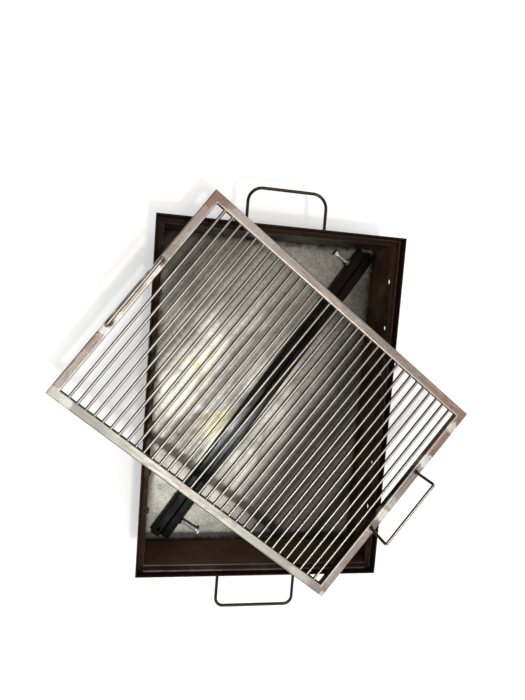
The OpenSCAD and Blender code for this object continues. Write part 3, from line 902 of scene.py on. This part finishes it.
# tacks along the seam between the floor and the walls
TACK_IN, TACK_UP, TACK_LONG, TACK_WIDE, TACK_HIGH = 0.0018, 0.0006, 0.0052, 0.0030, 0.0040
tack_z = FLOOR_TOP + TACK_UP
pile = Pile()
for x in (-0.145, -0.052, -0.038, 0.061, 0.112, 0.167):
    for sy in (-1, 1):
        jx = x + 0.004 * (rng.random() - 0.5)
        pile.lump(Vector((jx, sy * (LEDGE_IN_Y - TACK_IN), tack_z)),
                  Vector((TACK_LONG + 0.003 * rng.random(), TACK_WIDE, TACK_HIGH)))
for y in (-0.27, -0.19, -0.08, 0.03, 0.12, 0.21, 0.29):
    for sx in (-1, 1):
        jy = y + 0.012 * (rng.random() - 0.5)
        pile.lump(Vector((sx * (LEDGE_IN_X - TACK_IN), jy, tack_z)),
                  Vector((TACK_WIDE, TACK_LONG + 0.003 * rng.random(), TACK_HIGH)))
pile.make("floor_tack_welds", tack_weld, "tray")

# nuts welded on the posts
for side in ("left", "right"):
    mid, d = POSTS[side]
    nut = centre("post_nut_" + side)
    out = Vector((nut.x - mid.x, nut.y - mid.y, 0))
    out = (out - d * out.dot(d)).normalized()
    base = mid + d * (nut - mid).dot(d) + out * POST_HALF
    pile = Pile()
    pile.ring(Vector((base.x, base.y, nut.z)), out, 0.0068, minor=0.0016, lumps=8, wobble=0.6)
    pile.make("post_nut_weld_" + side, black_weld, "post_" + side)

# ---------------------------------------------------------------- stage, light, camera

scene = bpy.context.scene
scene.view_settings.view_transform = "Standard"
scene.view_settings.look = "None"
scene.cycles.use_denoising = True
scene.cycles.sample_clamp_direct = 4.0

floor_shader = Shader("pale_floor")
patches = floor_shader.noise(floor_shader.coords(), 2.0, 3, 0.5)
pale = floor_shader.mix(patches, (0.90, 0.90, 0.90), (0.92, 0.92, 0.92))
# it shows a dimmer floor to the shiny metal, and glows a little for the camera so that it stays pale
FLOOR_IN_METAL, FLOOR_GLOW = (0.30, 0.27, 0.25), 0.17
ray = floor_shader.add("ShaderNodeLightPath").outputs
lift = floor_shader.math("MULTIPLY", ray["Is Camera Ray"], FLOOR_GLOW)
floor_shader.finish(floor_shader.mix(ray["Is Glossy Ray"], pale, FLOOR_IN_METAL), 0.0, 0.8,
                    Emission_Color=(1.0, 1.0, 1.0), Emission_Strength=lift)
STAGE_HALF, STAGE_DROP = 80.0, 0.0005
mesh = bpy.data.meshes.new("stage_floor")
mesh.from_pydata([(sx * STAGE_HALF, sy * STAGE_HALF, 0) for sx, sy in ((-1, -1), (1, -1), (1, 1), (-1, 1))],
                 [], [(0, 1, 2, 3)])
stage_floor = bpy.data.objects.new("stage_floor", mesh)
scene.collection.objects.link(stage_floor)
stage_floor.data.materials.append(floor_shader.mat)
stage_floor.location.z = -STAGE_DROP


HAZE = 0.97


def world_light():
    """White haze for the camera and for matt light, and a dim room with soft bright areas for shiny metal."""
    world = bpy.data.worlds.new("studio")
    scene.world = world
    world.use_nodes = True
    t = world.node_tree
    t.nodes.clear()
    new, link = t.nodes.new, t.links.new

    def feed(socket, value):
        if isinstance(value, bpy.types.NodeSocket):
            link(value, socket)
        else:
            socket.default_value = value

    def calc(op, a, b=0.0):
        n = new("ShaderNodeMath")
        n.operation = op
        feed(n.inputs[0], a)
        feed(n.inputs[1], b)
        return n.outputs[0]

    coord = new("ShaderNodeTexCoord").outputs["Generated"]
    sep = new("ShaderNodeSeparateXYZ")
    link(coord, sep.inputs[0])
    z = calc("MAXIMUM", sep.outputs[2], 0.02)
    u = calc("DIVIDE", sep.outputs[0], z)
    v = calc("DIVIDE", sep.outputs[1], z)

    def ramp(value, low, high):
        m = new("ShaderNodeMapRange")
        m.interpolation_type = "SMOOTHSTEP"
        link(value, m.inputs["Value"])
        m.inputs["From Min"].default_value = low
        m.inputs["From Max"].default_value = high
        return m.outputs["Result"]

    def blob(cu, cv, ru, rv, soft):
        """An oval area overhead, given by the slopes x/z and y/z of the directions in it."""
        a = calc("DIVIDE", calc("SUBTRACT", u, cu), ru)
        b = calc("DIVIDE", calc("SUBTRACT", v, cv), rv)
        r = calc("SQRT", calc("ADD", calc("MULTIPLY", a, a), calc("MULTIPLY", b, b)))
        return ramp(r, 1.0 + soft, 1.0 - soft)

    def over(share, a, b):
        n = new("ShaderNodeMix")
        n.data_type = "RGBA"
        link(share, n.inputs["Factor"])
        for i, value in ((6, a), (7, b)):
            feed(n.inputs[i], (*value, 1) if isinstance(value, tuple) else value)
        return n.outputs[2]

    ceiling = (0.235, 0.195, 0.168)
    walls = (0.46, 0.44, 0.415)
    window = (0.62, 0.60, 0.57)
    shade = (0.045, 0.039, 0.035)
    colour = over(blob(0, 0, 1.45, 1.45, 0.35), walls, ceiling)
    # soft boxes low down at both ends of the grate's rods, and a dark side that their left flanks face
    cos_t, sin_t = math.cos(G_TURN), math.sin(G_TURN)
    across = calc("ADD", calc("MULTIPLY", sep.outputs[0], cos_t), calc("MULTIPLY", sep.outputs[1], sin_t))
    ends = calc("MULTIPLY", ramp(calc("ABSOLUTE", across), 0.62, 0.42), ramp(sep.outputs[2], 0.68, 0.50))
    colour = over(ends, colour, window)
    flank = ramp(calc("DIVIDE", across, z), -0.16, -0.36)
    flank = calc("MULTIPLY", flank, ramp(sep.outputs[2], 0.60, 0.75))
    colour = over(flank, colour, shade)
    colour = over(blob(-0.05, -0.42, 0.50, 0.30, 0.6), colour, (0.35, 0.33, 0.30))
    colour = over(blob(0.13, 0.18, 0.13, 0.12, 0.7), colour, (0.74, 0.67, 0.61))
    colour = over(blob(0.27, -0.53, 0.15, 0.12, 0.7), colour, (1.0, 0.95, 0.86))
    room = new("ShaderNodeBackground")
    link(colour, room.inputs["Color"])
    haze = new("ShaderNodeBackground")
    haze.inputs["Color"].default_value = (1.0, 1.0, 1.0, 1)
    haze.inputs["Strength"].default_value = HAZE
    path = new("ShaderNodeLightPath")
    pale = calc("MAXIMUM", path.outputs["Is Camera Ray"], path.outputs["Is Diffuse Ray"])
    back = new("ShaderNodeMixShader")
    link(pale, back.inputs[0])
    link(room.outputs[0], back.inputs[1])
    link(haze.outputs[0], back.inputs[2])
    out = new("ShaderNodeOutputWorld")
    link(back.outputs[0], out.inputs["Surface"])


world_light()


def area(name, direction, distance, size, power, colour):
    light = bpy.data.lights.new(name, "AREA")
    light.shape = "DISK"
    light.size = size
    light.energy = power
    light.color = colour
    obj = bpy.data.objects.new(name, light)
    scene.collection.objects.link(obj)
    d = Vector(direction).normalized()
    obj.location = d * distance + Vector((0, 0, RIM_TOP))
    obj.rotation_euler = d.to_track_quat("Z", "Y").to_euler()


LAMP_DISTANCE, LAMP_SIZE = 4.0, 0.26
area("key", (0.369, -1.0, 4.0), LAMP_DISTANCE, LAMP_SIZE, 36, (1.0, 0.995, 0.97))
area("second", (0.223, -0.46, 4.0), LAMP_DISTANCE, LAMP_SIZE, 15, (1.0, 0.955, 0.86))

# the lens in millimetres, the place above the rim in metres, and the turns in degrees
CAMERA_LENS = 37.43
CAMERA_PLACE = (-0.2300, 0.2015, RIM_TOP + 1.0387)
CAMERA_TURNS = (-5.822, -10.510, 4.427)
camera = bpy.data.cameras.new("camera")
camera.sensor_fit = "HORIZONTAL"
camera.sensor_width = 36.0
camera.lens = CAMERA_LENS
camera.clip_start = 0.05
cam = bpy.data.objects.new("camera", camera)
scene.collection.objects.link(cam)
cam.location = CAMERA_PLACE
cam.rotation_euler = [math.radians(a) for a in CAMERA_TURNS]
scene.camera = cam
